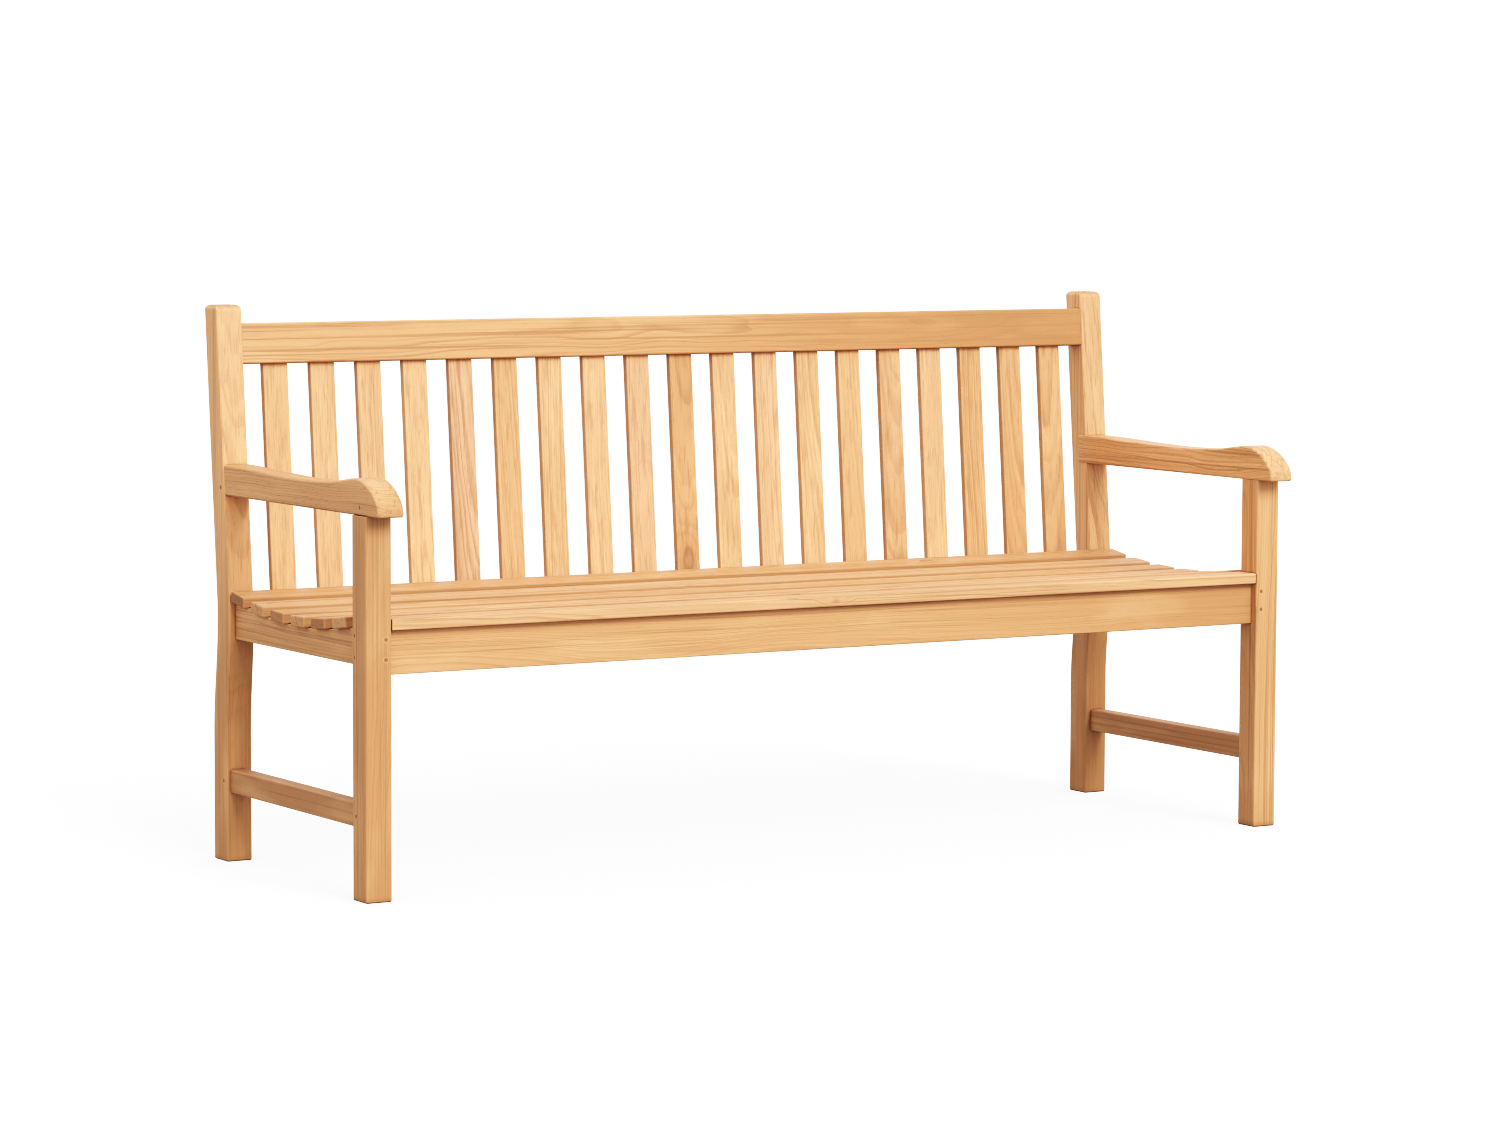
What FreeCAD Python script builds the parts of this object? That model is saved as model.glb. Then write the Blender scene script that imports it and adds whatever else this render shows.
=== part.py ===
import FreeCAD, Part
import math
import os
from FreeCAD import Placement, Rotation, Vector

# Three-seat garden bench in solid hardwood, with a slatted back and a dished, slatted seat.
# Millimetres. X runs along the bench, Y from front to back and Z up. The origin is on the
# ground, under the middle of the bench.

# ---- Overall sizes ----
bench_length = 1800.0           # over the outer faces of the legs
bench_depth = 638.0             # noses of the arms to the backs of the post tops
bench_height = 933.0            # ground to the tops of the rear posts
seat_height = 452.0             # ground to the top of the front seat slat

# ---- Legs and posts ----
leg_width = 46.0                # front leg along X
leg_depth = 48.0                # front leg along Y
leg_edge_round = 3.0
post_width = 46.0               # rear post along X
post_depth = 47.0               # rear post along Y, above the seat
post_foot_depth = 51.0          # rear post along Y, at the ground
post_bend_height = 440.0        # where the straight upper part of the post begins
post_knee_height = 220.0        # where the lower part becomes upright
back_lean = 5.0                 # degrees that the back leans from upright
foot_kick = 11.0                # the foot stands this far behind the bend
post_crown_round = 12.0         # rounding over the front and back of the post top
post_cheek_round = 8.0          # rounding over the sides of the post top

# ---- Back ----
rail_thickness = 36.0           # top rail and rear seat rail
rail_setback = 3.0              # rail face behind the post face
rail_edge_round = 3.0
top_rail_height = 68.0
top_rail_drop = 30.0            # top of the top rail below the tops of the posts
back_slat_count = 19
back_slat_width = 45.5
back_slat_thickness = 12.5
back_slat_setback = 14.5        # slat face behind the post face
slat_edge_round = 2.0

# ---- Arms ----
arm_underside_height = 616.5
arm_width = 46.0
arm_inset = 2.0                 # arm's outer face inside the leg's outer face
arm_nose_overhang = 40.0        # nose in front of the front leg
arm_heel_thickness = 51.0       # at the rear post
arm_waist_thickness = 44.5      # at its thinnest
arm_crest_thickness = 57.0      # over the front leg
arm_waist_place = 250.0         # waist behind the front leg's face
arm_crest_place = 22.0          # crest behind the front leg's face
arm_rise = (0.75, 0.80)         # shares of the way and of the height from waist to crest
arm_roll = ((0.50, 0.79), (0.16, 0.50))     # nose curve, as shares of its run and its height
arm_lip_height = 7.0            # upright lip under the nose
arm_tenon_rise = 6.0            # rear tenon above the arm's underside
arm_tenon_cover = 10.0          # wood over the rear tenon
arm_peg_rise = 13.0             # pegs above the arm's underside
arm_edge_round = 3.5

# ---- Seat frame ----
apron_height = 72.0
apron_thickness = 25.0
apron_setback = 15.0            # apron face behind the leg face
rear_seat_rail_height = 70.0
side_rail_underside_height = 376.0
side_rail_thickness = 25.0
side_rail_inset = 12.0          # rail's outer face inside the leg's outer face
bearer_thickness = 25.0
bearer_spread = 600.0           # between the centres of the two bearers
stretcher_height = 39.0
stretcher_thickness = 28.0
stretcher_underside_height = 117.0
stretcher_inset = 7.0           # stretcher's outer face inside the leg's outer face

# ---- Seat slats ----
seat_slat_count = 7
seat_slat_width = 48.0
seat_slat_thickness = 18.0
seat_slat_end_inset = 2.0       # slat ends inside the legs' outer faces
seat_dip = 17.5                 # depth of the seat's hollow
seat_rear_rise = 6.0            # rear edge of the seat above the front slat
seat_slat_edge_round = 2.5
front_slat_end_gap = 1.0        # front slat to each front leg
rear_slat_gap = 2.0             # rear slat to the rear posts

# ---- Joints and fastenings ----
glue_gap = 0.2                  # round each tenon
tenon_spacing = 2.0             # wood left between two tenons that come near each other
tenon_end_gap = 1.5             # between a tenon's end and its mortise
tenon_shoulder = 8.0            # rail above and below its tenon
leg_tenon = 26.0                # square tenon on top of each front leg
leg_tenon_length = 30.0
post_tenon_length = 25.0        # arm and stretcher tenons
post_side_tenon_length = 18.0   # side rail's tenon in the rear post
rail_end_tenon_length = 28.0    # top rail and rear seat rail tenons
tenon_thickness = 12.0
apron_tenon_thickness = 10.0
apron_tenon_length = 20.0
apron_tenon_cheek = 4.0         # apron face to its tenon
rear_tenon_cheek = 18.0         # rear seat rail face to its tenon
slat_tenon_length = 15.0
slat_tenon_cheek = 2.0
slat_tenon_shoulder = 5.0
peg_diameter = 8.0
peg_fit = 0.05                  # between a peg or screw and its hole, on the radius
peg_past_tenon = 4.0            # a peg runs this far past its tenon
rail_peg_spacing = 32.0         # between the two pegs of a rail joint
side_peg_spacing = 35.0         # between the two pegs of a side rail joint
apron_peg_rise = 6.0            # middle of the apron's pegs above the middle of the apron
side_tenon_cover = 3.0          # wood over the side rail's tenons
rear_peg_past_tenon = 1.0       # rear rail pegs stop short of the side rail's tenon
front_slat_screw_inset = 92.0   # front slat's end screws to the front legs
screw_diameter = 4.0
screw_head_diameter = 8.0
screw_length = 32.0
screw_head_height = 3.0
plug_diameter = 10.0
plug_depth = 6.0

# ---- Places worked out from the sizes above ----
half_length = bench_length / 2
leg_face_y = -bench_depth / 2 + arm_nose_overhang
leg_back_y = leg_face_y + leg_depth
lean_slope = math.tan(math.radians(back_lean))
lean_cosine = math.cos(math.radians(back_lean))
crown_trim = post_crown_round * (lean_slope + 1 / lean_cosine - 1)
bend_y = (bench_depth / 2 + crown_trim - post_depth
          - (bench_height - post_bend_height) * lean_slope)
leg_inner_x = half_length - leg_width
post_inner_x = half_length - post_width
frame_top_z = seat_height - seat_slat_thickness
apron_face_y = leg_face_y + apron_setback
apron_back_y = apron_face_y + apron_thickness
rear_rail_face_y = bend_y + rail_setback
rear_rail_top_z = frame_top_z + seat_rear_rise
back_frame = Placement(Vector(0, bend_y, post_bend_height), Rotation(Vector(1, 0, 0), -back_lean))
top_rail_top_h = (bench_height - top_rail_drop - post_bend_height) / lean_cosine
top_rail_low_h = top_rail_top_h - top_rail_height
slat_row_start = leg_face_y
slat_row_end = bend_y - rear_slat_gap
slat_pitch = (slat_row_end - slat_row_start - seat_slat_width) / (seat_slat_count - 1)
hollow_start = slat_row_start + slat_pitch


# ---- Helpers ----
def board(x_span, y_span, z_span):
    """A square-edged board between three (low, high) spans."""
    lengths = [high - low for low, high in (x_span, y_span, z_span)]
    return Part.makeBox(*lengths, Vector(x_span[0], y_span[0], z_span[0]))


def around(middle, width):
    """The span of a width centred on a middle."""
    return (middle - width / 2, middle + width / 2)


def grown(span, gap):
    """A span made larger by a gap at each end."""
    return (span[0] - gap, span[1] + gap)


def between(start, end, share):
    """A value part of the way from a start to an end."""
    return start + (end - start) * share


def long_edges(solid, axis):
    """The straight edges of a board that run along one axis."""
    wanted = []
    for edge in solid.Edges:
        run = edge.Vertexes[-1].Point - edge.Vertexes[0].Point
        if abs(run.dot(axis)) > 0.999 * run.Length:
            wanted.append(edge)
    return wanted


def eased_board(x_span, y_span, z_span, axis, radius):
    """A board whose four long edges are rounded."""
    plain = board(x_span, y_span, z_span)
    return plain.makeFillet(radius, long_edges(plain, axis))


def joined(body, *additions):
    """One solid made of a body and its tenons."""
    for addition in additions:
        body = body.fuse(addition)
    return body.removeSplitter().Solids[0]


def mirrored(shape):
    """The same piece for the other end of the bench."""
    return shape.mirror(Vector(0, 0, 0), Vector(1, 0, 0))


def group(solids):
    """Identical fastenings kept together."""
    return Part.makeCompound(solids)


def profile(points):
    """A closed outline of straight lines."""
    return Part.makePolygon(points + points[:1])


def in_back(shape):
    """A shape drawn upright in the plane of the back, leant into its place."""
    leant = shape.copy()
    leant.Placement = back_frame.multiply(leant.Placement)
    return leant


AXIS_X = Vector(1, 0, 0)
AXIS_Y = Vector(0, 1, 0)
AXIS_Z = Vector(0, 0, 1)


# ---- Pegs ----
# A peg is a round hardwood pin, driven from a face of the post or leg through the tenon.
def peg(start, direction, length):
    return Part.makeCylinder(peg_diameter / 2, length, start, direction)


def peg_hole(start, direction, length):
    return Part.makeCylinder(peg_diameter / 2 + peg_fit, length, start, direction)


def drilled(piece, pegs):
    """A piece with the holes for its pegs; each peg is (start, direction, length)."""
    for start, direction, length in pegs:
        piece = piece.cut(peg_hole(start, direction, length))
    return piece


# ---- Rear post ----
# Sawn from one wide plank: straight and leaning above the seat, swept back below it, with a
# pillowed top.
def post_side_edge(face_y, foot_y, top_y, top_z):
    """One long edge of the post seen from the side, from the ground to its top."""
    bend = Vector(0, face_y, post_bend_height)
    knee = Vector(0, foot_y, post_knee_height)
    foot = Vector(0, foot_y, 0)
    top = Vector(0, top_y, top_z)
    reach = (post_bend_height - post_knee_height) / 3
    sweep = Part.BezierCurve()
    sweep.setPoles([knee, knee + Vector(0, 0, reach), bend - Vector(0, reach * lean_slope, reach), bend])
    return [Part.LineSegment(foot, knee).toShape(), sweep.toShape(),
            Part.LineSegment(bend, top).toShape()]


def post_blank(top_z):
    """The post as sawn, with its two sides flat."""
    rise = (top_z - post_bend_height) * lean_slope
    front_foot_y = bend_y + foot_kick
    back_foot_y = front_foot_y + post_foot_depth
    front = post_side_edge(bend_y, front_foot_y, bend_y + rise, top_z)
    back_y = bend_y + post_depth
    back = post_side_edge(back_y, back_foot_y, back_y + rise, top_z)
    top = Part.LineSegment(front[-1].Vertexes[-1].Point, back[-1].Vertexes[-1].Point).toShape()
    bottom = Part.LineSegment(back[0].Vertexes[0].Point, front[0].Vertexes[0].Point).toShape()
    outline = Part.Wire(front + [top] + back[::-1] + [bottom])
    blank = Part.Face(outline).extrude(Vector(post_width, 0, 0))
    blank.translate(Vector(post_inner_x, 0, 0))
    return blank


def is_post_arris(edge):
    """Whether an edge of the tall blank runs along the post or round its foot."""
    heights = [vertex.Point.z for vertex in edge.Vertexes]
    across = abs(edge.CenterOfMass.x - post_inner_x - post_width / 2) < post_width / 4
    if across or min(heights) > bench_height:
        return max(heights) < 1
    return True


def post_body():
    """The post with eased edges and its rounded top, before its mortises."""
    tall = post_blank(bench_height + 3 * post_crown_round)
    tall = tall.makeFillet(leg_edge_round, [e for e in tall.Edges if is_post_arris(e)])
    crown = post_blank(bench_height)
    over = [e for e in long_edges(crown, AXIS_X) if e.CenterOfMass.z > bench_height - 1]
    crown = crown.makeFillet(post_crown_round, over)
    cheeks = board((post_inner_x, half_length), (-bench_depth, bench_depth), (0, bench_height))
    over = [e for e in long_edges(cheeks, AXIS_Y) if e.CenterOfMass.z > bench_height - 1]
    cheeks = cheeks.makeFillet(post_cheek_round, over)
    return tall.common(crown.common(cheeks)).Solids[0]


def post_face_y(z):
    """The straight upper front face of the post, at a height."""
    return bend_y + (z - post_bend_height) * lean_slope


# ---- Front leg ----
# Upright and square, with a square tenon on top that stands up into the arm.
def leg_body():
    return eased_leg(board((leg_inner_x, half_length), (leg_face_y, leg_back_y),
                           (0, arm_underside_height)))


def eased_leg(plain):
    """Round the long edges and the foot of a leg, but not its top shoulder."""
    edges = [e for e in plain.Edges if min(v.Point.z for v in e.Vertexes) < 1]
    return plain.makeFillet(leg_edge_round, edges)


leg_middle_x = half_length - leg_width / 2
leg_middle_y = leg_face_y + leg_depth / 2


def leg_top_tenon(gap):
    """The tenon, or with a gap the mortise that takes it."""
    end_gap = tenon_end_gap if gap else 0
    return board(grown(around(leg_middle_x, leg_tenon), gap), grown(around(leg_middle_y, leg_tenon), gap),
                 (arm_underside_height - tenon_shoulder, arm_underside_height + leg_tenon_length + end_gap))


# ---- Arm ----
# One thick piece: dished on top between the post and the leg, rolled over in front into a
# rounded nose that overhangs the leg. Its heel is scribed to the leaning post.
arm_outer_x = half_length - arm_inset
arm_inner_x = arm_outer_x - arm_width
arm_tenon_span_z = (arm_underside_height + arm_tenon_rise,
                    arm_underside_height + arm_heel_thickness - arm_tenon_cover)
arm_tenon_x = around(half_length - post_width / 2, tenon_thickness)


def arm_outline():
    """The arm seen from the side, running on behind the post's face."""
    low = arm_underside_height
    nose_y = leg_face_y - arm_nose_overhang
    crest_y = leg_face_y + arm_crest_place
    waist_y = leg_face_y + arm_waist_place
    heel_y = post_face_y(low) + post_depth / 2
    rise_share, height_share = arm_rise
    crown_points = [
        Vector(0, heel_y, low + arm_heel_thickness),
        Vector(0, waist_y, low + arm_waist_thickness),
        Vector(0, between(waist_y, crest_y, rise_share),
               low + between(arm_waist_thickness, arm_crest_thickness, height_share)),
        Vector(0, crest_y, low + arm_crest_thickness)]
    for run_share, height_share in arm_roll:
        crown_points.append(Vector(0, between(nose_y, crest_y, run_share),
                                   low + height_share * arm_crest_thickness))
    crown_points.append(Vector(0, nose_y, low + arm_lip_height))
    crown = Part.BSplineCurve()
    crown.interpolate(Points=crown_points, InitialTangent=-AXIS_Y, FinalTangent=-AXIS_Z)
    corners = [crown_points[-1], Vector(0, nose_y, low), Vector(0, heel_y, low), crown_points[0]]
    sides = [Part.LineSegment(a, b).toShape() for a, b in zip(corners, corners[1:])]
    return Part.Wire([crown.toShape()] + sides)


def is_arm_arris(edge):
    """Whether an edge of the sawn arm gets rounded: all but those round its heel."""
    behind = post_face_y(arm_underside_height)
    return min(vertex.Point.y for vertex in edge.Vertexes) < behind


def arm_body():
    sawn = Part.Face(arm_outline()).extrude(Vector(arm_width, 0, 0))
    sawn.translate(Vector(arm_inner_x, 0, 0))
    return sawn.makeFillet(arm_edge_round, [e for e in sawn.Edges if is_arm_arris(e)])


def arm_tenon(gap):
    """The tenon into the post, or with a gap its mortise, square to the leaning face."""
    end_gap = tenon_end_gap if gap else 0
    low_z, high_z = grown(arm_tenon_span_z, gap)
    face_y = post_face_y((low_z + high_z) / 2)
    return board(grown(arm_tenon_x, gap),
                 (face_y - 2 * tenon_shoulder, face_y + post_tenon_length + end_gap), (low_z, high_z))


# ---- Back: top rail, rear seat rail and slats ----
# The top rail leans with the posts. The rear seat rail stands upright under the slats' feet,
# hidden behind the seat. Every slat has a short tenon at each end, one in each rail.
rail_span_d = (rail_setback, rail_setback + rail_thickness)
top_tenon_d = around(rail_setback + rail_thickness / 2, tenon_thickness)
rear_rail_span_y = (rear_rail_face_y, rear_rail_face_y + rail_thickness)
rear_rail_span_z = (rear_rail_top_z - rear_seat_rail_height, rear_rail_top_z)
rear_tenon_y = (rear_rail_face_y + rear_tenon_cheek,
                rear_rail_face_y + rear_tenon_cheek + tenon_thickness)
back_span = 2 * post_inner_x
back_slat_gap = (back_span - back_slat_count * back_slat_width) / (back_slat_count + 1)
back_slat_pitch = back_slat_width + back_slat_gap
back_slat_d = (back_slat_setback, back_slat_setback + back_slat_thickness)


def back_slat_x(index):
    """Middle of a back slat, counted from the left."""
    return (index - (back_slat_count - 1) / 2) * back_slat_pitch


def slat_tenon(index, gap):
    """Both tenons of a slat as one strip through it, or with a gap their mortises."""
    end_gap = tenon_end_gap if gap else 0
    x_span = around(back_slat_x(index), back_slat_width - 2 * slat_tenon_shoulder)
    d_span = grown(back_slat_d, -slat_tenon_cheek)
    foot_h = (rear_rail_top_z - post_bend_height) / lean_cosine + back_slat_setback * lean_slope
    h_span = (foot_h - slat_tenon_length, top_rail_low_h + slat_tenon_length)
    strip = board(grown(x_span, gap), grown(d_span, gap), grown(h_span, end_gap))
    return in_back(strip)


def back_slat(index):
    """A slat between the rails, its foot cut level to sit on the rear seat rail."""
    below = rear_rail_top_z - post_bend_height - 2 * back_slat_setback
    blank = in_back(eased_board(around(back_slat_x(index), back_slat_width), back_slat_d,
                                (below, top_rail_low_h), AXIS_Z, slat_edge_round))
    waste = board((-bench_length, bench_length), (-bench_depth, bench_depth), (0, rear_rail_top_z))
    return joined(blank.cut(waste), slat_tenon(index, 0))


def top_rail_tenon(gap):
    """The tenon at the rail's right-hand end, or with a gap the mortise in the post."""
    end_gap = tenon_end_gap if gap else 0
    h_span = (top_rail_low_h + tenon_shoulder, top_rail_top_h - tenon_shoulder)
    return in_back(board((post_inner_x - tenon_shoulder, post_inner_x + rail_end_tenon_length + end_gap),
                         grown(top_tenon_d, gap), grown(h_span, gap)))


def top_rail():
    rail = in_back(eased_board((-post_inner_x, post_inner_x), rail_span_d,
                               (top_rail_low_h, top_rail_top_h), AXIS_X, rail_edge_round))
    rail = joined(rail, top_rail_tenon(0), mirrored(top_rail_tenon(0)))
    for index in range(back_slat_count):
        rail = rail.cut(slat_tenon(index, glue_gap))
    return rail


def rear_rail_tenon(gap):
    end_gap = tenon_end_gap if gap else 0
    z_span = (rear_rail_span_z[0] + tenon_shoulder, rear_rail_span_z[1] - tenon_shoulder)
    return board((post_inner_x - tenon_shoulder, post_inner_x + rail_end_tenon_length + end_gap),
                 grown(rear_tenon_y, gap), grown(z_span, gap))


def rear_seat_rail():
    rail = eased_board((-post_inner_x, post_inner_x), rear_rail_span_y, rear_rail_span_z,
                       AXIS_X, rail_edge_round)
    rail = joined(rail, rear_rail_tenon(0), mirrored(rear_rail_tenon(0)))
    for index in range(back_slat_count):
        rail = rail.cut(slat_tenon(index, glue_gap))
    return rail


# ---- Seat hollow ----
# The seat is level at the front slat, dished behind it and a little higher at the rear. The side
# rails and bearers are cut in flats along their tops, one flat under each slat.
def hollow_z(y):
    """Height of the top of the seat frame under the slats."""
    along = min(1.0, max(0.0, (y - hollow_start) / (slat_row_end - hollow_start)))
    across = 2 * along - 1
    return frame_top_z + seat_rear_rise * along - seat_dip * (1 - across * across)


def slat_front_y(index):
    """Front edge of a seat slat; the front slat is number 0."""
    return slat_row_start + index * slat_pitch


def seat_slat_frame(index):
    """Where a seat slat lies: origin at its lower front edge, tilted with the hollow."""
    front_y = slat_front_y(index)
    if index == 0:
        return Placement(Vector(0, front_y, frame_top_z), Rotation())
    rise = hollow_z(front_y + seat_slat_width) - hollow_z(front_y)
    tilt = math.degrees(math.atan2(rise, seat_slat_width))
    return Placement(Vector(0, front_y, hollow_z(front_y)), Rotation(AXIS_X, tilt))


def contoured_rail(x_span, start_y, end_y, low_z):
    """A rail that runs from front to back, with its top cut to the seat."""
    tops = [Vector(x_span[0], start_y, frame_top_z)]
    for index in range(1, seat_slat_count):
        for y in (slat_front_y(index), slat_front_y(index) + seat_slat_width):
            tops.append(Vector(x_span[0], y, hollow_z(y)))
    tops.append(Vector(x_span[0], end_y, hollow_z(end_y)))
    lows = [Vector(x_span[0], end_y, low_z), Vector(x_span[0], start_y, low_z)]
    side = Part.Face(profile(tops + lows))
    return side.extrude(Vector(x_span[1] - x_span[0], 0, 0))


# ---- Seat frame: apron, side rails, bearers and stretchers ----
apron_span_z = (frame_top_z - apron_height, frame_top_z)
apron_tenon_y = (apron_face_y + apron_tenon_cheek,
                 apron_face_y + apron_tenon_cheek + apron_tenon_thickness)
side_rail_x = (half_length - side_rail_inset - side_rail_thickness, half_length - side_rail_inset)
side_tenon_x = around(sum(side_rail_x) / 2, tenon_thickness)
side_tenon_z = (side_rail_underside_height + tenon_shoulder, frame_top_z - side_tenon_cover)
side_front_tenon_length = leg_back_y - apron_tenon_y[1] - tenon_spacing
bearer_tenon_z = (side_rail_underside_height + tenon_shoulder,
                  frame_top_z - seat_dip - tenon_shoulder)
bearer_rear_tenon_length = back_slat_setback - rail_setback - tenon_spacing
bearer_front_tenon_length = apron_thickness / 2
stretcher_x = (half_length - stretcher_inset - stretcher_thickness, half_length - stretcher_inset)
stretcher_z = (stretcher_underside_height, stretcher_underside_height + stretcher_height)
stretcher_tenon_x = around(sum(stretcher_x) / 2, tenon_thickness)
stretcher_tenon_z = (stretcher_z[0] + tenon_shoulder, stretcher_z[1] - tenon_shoulder)
knee_face_y = bend_y + foot_kick


def apron_tenon(gap):
    end_gap = tenon_end_gap if gap else 0
    z_span = (apron_span_z[0] + tenon_shoulder, apron_span_z[1] - tenon_shoulder)
    return board((leg_inner_x - tenon_shoulder, leg_inner_x + apron_tenon_length + end_gap),
                 grown(apron_tenon_y, gap), grown(z_span, gap))


def bearer_x(side):
    """Across a bearer; side is -1 for the left one and 1 for the right one."""
    return around(side * bearer_spread / 2, bearer_thickness)


def bearer_tenons(side, gap):
    end_gap = tenon_end_gap if gap else 0
    x_span = grown(around(side * bearer_spread / 2, apron_tenon_thickness), gap)
    z_span = grown(bearer_tenon_z, gap)
    front = board(x_span, (apron_back_y - bearer_front_tenon_length - end_gap,
                           apron_back_y + tenon_shoulder), z_span)
    rear = board(x_span, (rear_rail_face_y - tenon_shoulder,
                          rear_rail_face_y + bearer_rear_tenon_length + end_gap), z_span)
    return front.fuse(rear)


def bearer(side):
    x_span = bearer_x(side)
    rail = contoured_rail(x_span, apron_back_y, rear_rail_face_y, side_rail_underside_height)
    return joined(rail, bearer_tenons(side, 0))


def front_apron():
    apron = eased_board((-leg_inner_x, leg_inner_x), (apron_face_y, apron_back_y), apron_span_z,
                        AXIS_X, slat_edge_round)
    return joined(apron, apron_tenon(0), mirrored(apron_tenon(0)))


def side_rail_front_tenon(gap):
    end_gap = tenon_end_gap if gap else 0
    return board(grown(side_tenon_x, gap),
                 (leg_back_y - side_front_tenon_length - end_gap / 2, leg_back_y + tenon_shoulder),
                 grown(side_tenon_z, gap))


def side_rail_rear_tenon(gap):
    end_gap = tenon_end_gap if gap else 0
    return board(grown(side_tenon_x, gap),
                 (bend_y - tenon_shoulder, bend_y + post_side_tenon_length + end_gap),
                 grown(side_tenon_z, gap))


def side_rail(post):
    """The rail at the right-hand end, its rear shoulder scribed to the post."""
    blank = contoured_rail(side_rail_x, leg_back_y, bend_y + post_depth / 2,
                           side_rail_underside_height)
    arrises = [e for e in long_edges(blank, AXIS_Y) if e.CenterOfMass.z < side_rail_underside_height + 1]
    blank = blank.makeFillet(slat_edge_round, arrises).cut(post)
    blank = max(blank.Solids, key=lambda piece: piece.Volume)
    return joined(blank, side_rail_front_tenon(0), side_rail_rear_tenon(0))


def stretcher_tenons(gap):
    end_gap = tenon_end_gap if gap else 0
    front = board(grown(stretcher_tenon_x, gap),
                  (leg_back_y - post_tenon_length - end_gap, leg_back_y + tenon_shoulder),
                  grown(stretcher_tenon_z, gap))
    rear = board(grown(stretcher_tenon_x, gap),
                 (knee_face_y - tenon_shoulder, knee_face_y + post_tenon_length + end_gap),
                 grown(stretcher_tenon_z, gap))
    return front.fuse(rear)


def stretcher(post):
    blank = eased_board(stretcher_x, (leg_back_y, knee_face_y + post_depth / 2), stretcher_z,
                        AXIS_Y, slat_edge_round)
    blank = max(blank.cut(post).Solids, key=lambda piece: piece.Volume)
    return joined(blank, stretcher_tenons(0))


# ---- Seat slats, their screws and the plugs over them ----
# Each slat is screwed down from above. The screw heads are sunk, and hidden under wooden plugs.
def fixing_x(index):
    """Where a seat slat is screwed down, from left to right."""
    inner = [-bearer_spread / 2, bearer_spread / 2]
    end = leg_inner_x - front_slat_screw_inset if index == 0 else sum(side_rail_x) / 2
    return [-end] + inner + [end]


def fixing_y(index):
    """Place of a slat's screws across its width, from its front edge."""
    return apron_back_y - apron_thickness / 2 - leg_face_y if index == 0 else seat_slat_width / 2


def turned(rings):
    """A solid of revolution about Z from its (radius, height) corners."""
    corners = [Vector(radius, 0, height) for radius, height in rings]
    return Part.Face(profile(corners)).revolve(Vector(0, 0, 0), AXIS_Z, 360)


def screw():
    """A countersunk screw, head up, with the top of its head at height 0."""
    head = screw_head_diameter / 2
    shank = screw_diameter / 2
    tip = screw_length - screw_diameter
    return turned([(0, 0), (head, 0), (shank, -screw_head_height), (shank, -tip), (0, -screw_length)])


def screw_hole():
    """The bored way for a screw and its plug, from a slat's top down into the frame."""
    head = screw_head_diameter / 2 + peg_fit
    shank = screw_diameter / 2 + peg_fit
    plug = plug_diameter / 2
    return turned([(0, plug_depth), (plug, plug_depth), (plug, 0), (head, 0),
                   (shank, -screw_head_height), (shank, -screw_length), (0, -screw_length)])


def fixing_places(index):
    """Where the tops of a slat's screw heads lie."""
    places = []
    for x in fixing_x(index):
        at_head = Placement(Vector(x, fixing_y(index), seat_slat_thickness - plug_depth), Rotation())
        places.append(seat_slat_frame(index).multiply(at_head))
    return places


def placed(shape, place):
    moved = shape.copy()
    moved.Placement = place
    return moved


def seat_slat(index):
    half = half_length - seat_slat_end_inset
    if index == 0:
        half = leg_inner_x - front_slat_end_gap
    plain = board((-half, half), (0, seat_slat_width), (0, seat_slat_thickness))
    slat = plain.makeFillet(seat_slat_edge_round, plain.Edges)
    slat.Placement = seat_slat_frame(index)
    for place in fixing_places(index):
        slat = slat.cut(placed(screw_hole(), place))
    return slat


def bored(piece, places):
    """A frame piece with the holes for the screws that enter it."""
    for place in places:
        piece = piece.cut(placed(screw_hole(), place))
    return piece


# ---- Pegs of each joint, right-hand end ----
def middle_of(span):
    return (span[0] + span[1]) / 2


def rail_peg_heights(span):
    return around(middle_of(span), rail_peg_spacing)


def apron_pegs():
    """Driven from the front of the leg through the apron's tenon."""
    x = leg_inner_x + apron_tenon_length / 2
    length = apron_tenon_y[1] + tenon_spacing / 2 - leg_face_y
    heights = around(middle_of(apron_span_z) + apron_peg_rise, rail_peg_spacing)
    return [(Vector(x, leg_face_y, z), AXIS_Y, length) for z in heights]


def side_rail_pegs():
    """Driven from the outside of the leg through the side rail's front tenon."""
    y = leg_back_y - side_front_tenon_length / 2
    length = half_length - side_tenon_x[0] + peg_past_tenon
    heights = around(middle_of(side_tenon_z), side_peg_spacing)
    return [(Vector(half_length, y, z), -AXIS_X, length) for z in heights]


def stretcher_pegs():
    """One through each tenon, driven from the outside."""
    z = middle_of(stretcher_z)
    length = half_length - stretcher_tenon_x[0] + peg_past_tenon
    middles = (leg_back_y - post_tenon_length / 2, knee_face_y + post_tenon_length / 2)
    return [(Vector(half_length, y, z), -AXIS_X, length) for y in middles]


def arm_post_pegs():
    z = arm_underside_height + arm_peg_rise
    y = post_face_y(z) + post_tenon_length / 2
    return [(Vector(half_length, y, z), -AXIS_X, half_length - arm_tenon_x[0] + peg_past_tenon)]


def arm_leg_pegs():
    """Driven from the outside of the arm through the leg's top tenon."""
    z = arm_underside_height + arm_peg_rise
    length = arm_outer_x - leg_middle_x + leg_tenon / 2 + peg_past_tenon
    return [(Vector(arm_outer_x, leg_middle_y, z), -AXIS_X, min(length, arm_width - peg_past_tenon))]


def back_pegs(x, d_span, heights):
    """Driven square into the back of the leaning post through a rail's tenon."""
    start_d = post_depth * lean_cosine
    length = start_d - d_span[0] + peg_past_tenon
    pegs = []
    for h in heights:
        start = back_frame.multVec(Vector(x, start_d, h))
        pegs.append((start, back_frame.Rotation.multVec(-AXIS_Y), length))
    return pegs


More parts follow.
